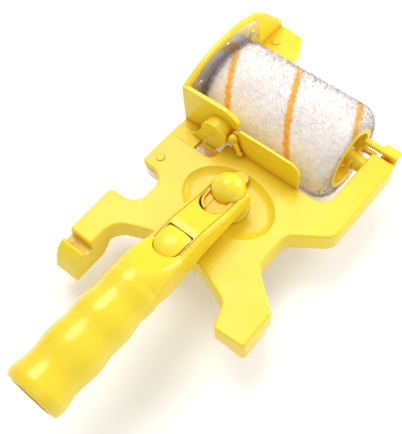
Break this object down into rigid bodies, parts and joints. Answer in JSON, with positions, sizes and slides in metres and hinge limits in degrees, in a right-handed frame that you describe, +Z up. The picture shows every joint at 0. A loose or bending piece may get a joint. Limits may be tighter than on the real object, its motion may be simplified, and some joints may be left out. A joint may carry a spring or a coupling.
{
  "type": "roller paint edger",
  "caption": "Guided paint edger: a nap roller beside a hinged corner shield with a steel edge, rolled along trim by side wheels from a ball-jointed grip.",
  "frame": {"origin": "where the ball stud's vertical axis meets the plane that the free nap touches", "axes": "+Z up, +X towards the arm that carries the roller, +Y towards the roller; the handle runs back along -Y"},
  "size_m": [0.115, 0.263, 0.0694],
  "materials": {
    "frame_plastic": "glossy yellow moulding",
    "shield_plastic": "glossy yellow moulding",
    "handle_plastic": "glossy yellow moulding",
    "cover_plastic": "satin yellow moulding",
    "button_plastic": "glossy yellow moulding",
    "jaw_plastic": "satin yellow moulding",
    "ball_plastic": "polished yellow ball",
    "latch_plastic": "glossy yellow moulding",
    "lever_plastic": "glossy yellow moulding",
    "core_plastic": "off-white tube",
    "cap_plastic": "satin yellow cup",
    "nap": "short woven nap with orange spiral stripes",
    "bright_steel": "bright cold-rolled sheet",
    "rivet_steel": "pressed rivet",
    "spindle_plastic": "smooth yellow shaft",
    "spring_steel": "spring wire",
    "pin_plastic": "satin yellow pin",
    "fastener_steel": "zinc plated",
    "socket_plastic": "satin yellow insert",
    "wheel_plastic": "off-white acetal wheel",
    "axle_plastic": "glossy yellow rivet"
  },
  "bodies": {
    "frame": {"base_frame": "frame_plastic", "lobe_axle": "axle_plastic", "foot_axle": "axle_plastic", "spindle": "spindle_plastic", "spindle_clip": "spring_steel", "shield_hinge_pin": "pin_plastic", "lever_pin": "pin_plastic", "latch_pin": "pin_plastic"},
    "ball_joint": {"ball_stud": "ball_plastic", "stud_washer": "fastener_steel", "stud_screw": "fastener_steel"},
    "handle": {"handle_body": "handle_plastic", "handle_cover": "cover_plastic", "cover_screws": "fastener_steel", "button_springs": "spring_steel", "jaw_spring": "spring_steel", "pole_socket": "socket_plastic"},
    "button": {"lock_button": "button_plastic"},
    "jaw": {"lock_jaw": "jaw_plastic"},
    "roller": {"nap_sleeve": "nap", "roller_core": "core_plastic", "end_cap_right": "cap_plastic", "end_cap_left": "cap_plastic"},
    "shield": {"shield_hood": "shield_plastic", "edge_plate": "bright_steel", "edge_plate_rivets": "rivet_steel", "lug_axle": "axle_plastic"},
    "lever": {"shield_lock_lever": "lever_plastic"},
    "latch": {"roller_latch": "latch_plastic"},
    "lobe_guide": {"lobe_wheel": "wheel_plastic"},
    "foot_guide": {"foot_wheel": "wheel_plastic"},
    "lug_guide": {"lug_wheel": "wheel_plastic"}
  },
  "joints": [
    {"name": "handle_swivel", "type": "hinge", "parent": "frame", "child": "ball_joint", "pos_m": [0, 0, 0.0352], "axis": [0, 0, 1], "range_deg": [-60, 60]},
    {"name": "handle_tilt", "type": "hinge", "parent": "ball_joint", "child": "handle", "pos_m": [0, 0, 0.0495], "axis": [-1, 0, 0], "range_deg": [0, 75]},
    {"name": "lock_button_press", "type": "slide", "parent": "handle", "child": "button", "axis": [0, 0, -1], "range_m": [0, 0.0015], "stiffness_N_per_m": 900, "springref_m": -0.0006, "deforming": ["button_springs"]},
    {"name": "lock_jaw_slide", "type": "slide", "parent": "handle", "child": "jaw", "axis": [0, -1, 0], "range_m": [0, 0.0015], "stiffness_N_per_m": 900, "springref_m": -0.0006, "deforming": ["jaw_spring"]},
    {"name": "roller_spin", "type": "hinge", "parent": "frame", "child": "roller", "pos_m": [0, 0.0675, 0.03], "axis": [1, 0, 0], "continuous": true},
    {"name": "shield_swing", "type": "hinge", "parent": "frame", "child": "shield", "pos_m": [-0.0305, 0, 0.0458], "axis": [0, 1, 0], "range_deg": [0, 8]},
    {"name": "lock_lever_turn", "type": "hinge", "parent": "frame", "child": "lever", "pos_m": [-0.0192, 0, 0.048], "axis": [0, -1, 0], "range_deg": [0, 70]},
    {"name": "latch_turn", "type": "hinge", "parent": "frame", "child": "latch", "pos_m": [0, 0.0785, 0.0287], "axis": [-1, 0, 0], "range_deg": [0, 80]},
    {"name": "lobe_wheel_spin", "type": "hinge", "parent": "frame", "child": "lobe_guide", "pos_m": [-0.0495, 0.0002, 0.0352], "axis": [0, 0, 1], "continuous": true},
    {"name": "foot_wheel_spin", "type": "hinge", "parent": "frame", "child": "foot_guide", "pos_m": [-0.0516, -0.0679, 0.0352], "axis": [0, 0, 1], "continuous": true},
    {"name": "lug_wheel_spin", "type": "hinge", "parent": "shield", "child": "lug_guide", "pos_m": [-0.0495, 0.1077, 0.0352], "axis": [0, 0, 1], "continuous": true}
  ],
  "couplings": [
    {"joint": "lock_jaw_slide", "follows": "lock_button_press", "ratio": 1}
  ]
}
